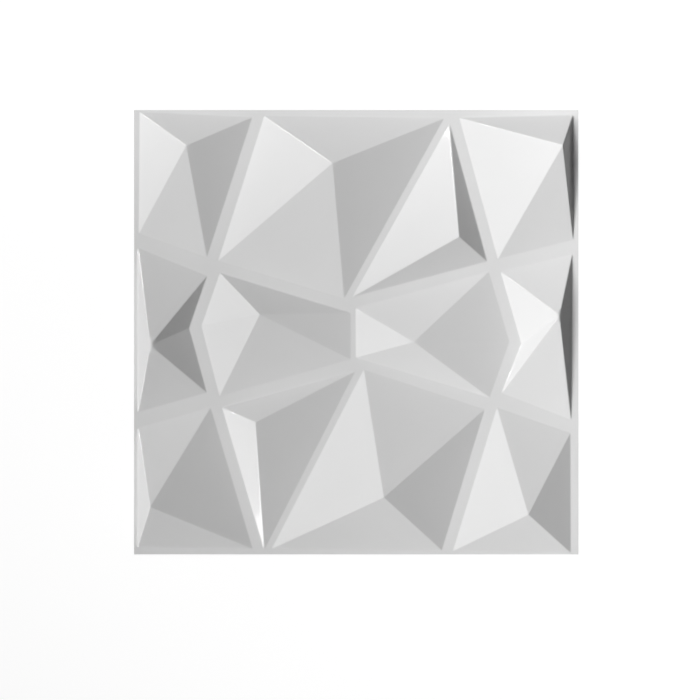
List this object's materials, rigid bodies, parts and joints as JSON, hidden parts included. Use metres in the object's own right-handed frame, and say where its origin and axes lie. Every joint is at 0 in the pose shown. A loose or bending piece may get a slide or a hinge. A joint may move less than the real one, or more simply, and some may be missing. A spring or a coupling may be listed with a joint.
{
  "type": "relief wall panel",
  "caption": "Square white vacuum-formed wall panel: low faceted peaks between flat grooves, a flat edge flange and an open back that is glued to the wall.",
  "frame": {"origin": "middle of the panel's back, in the plane that is glued to the wall", "axes": "+X to the right of the pattern, +Y to its top, +Z away from the wall"},
  "size_m": [0.5, 0.5, 0.031],
  "materials": {
    "white_plastic": "satin, formed sheet"
  },
  "bodies": {
    "root": {"wall_panel": "white_plastic"}
  },
  "joints": []
}
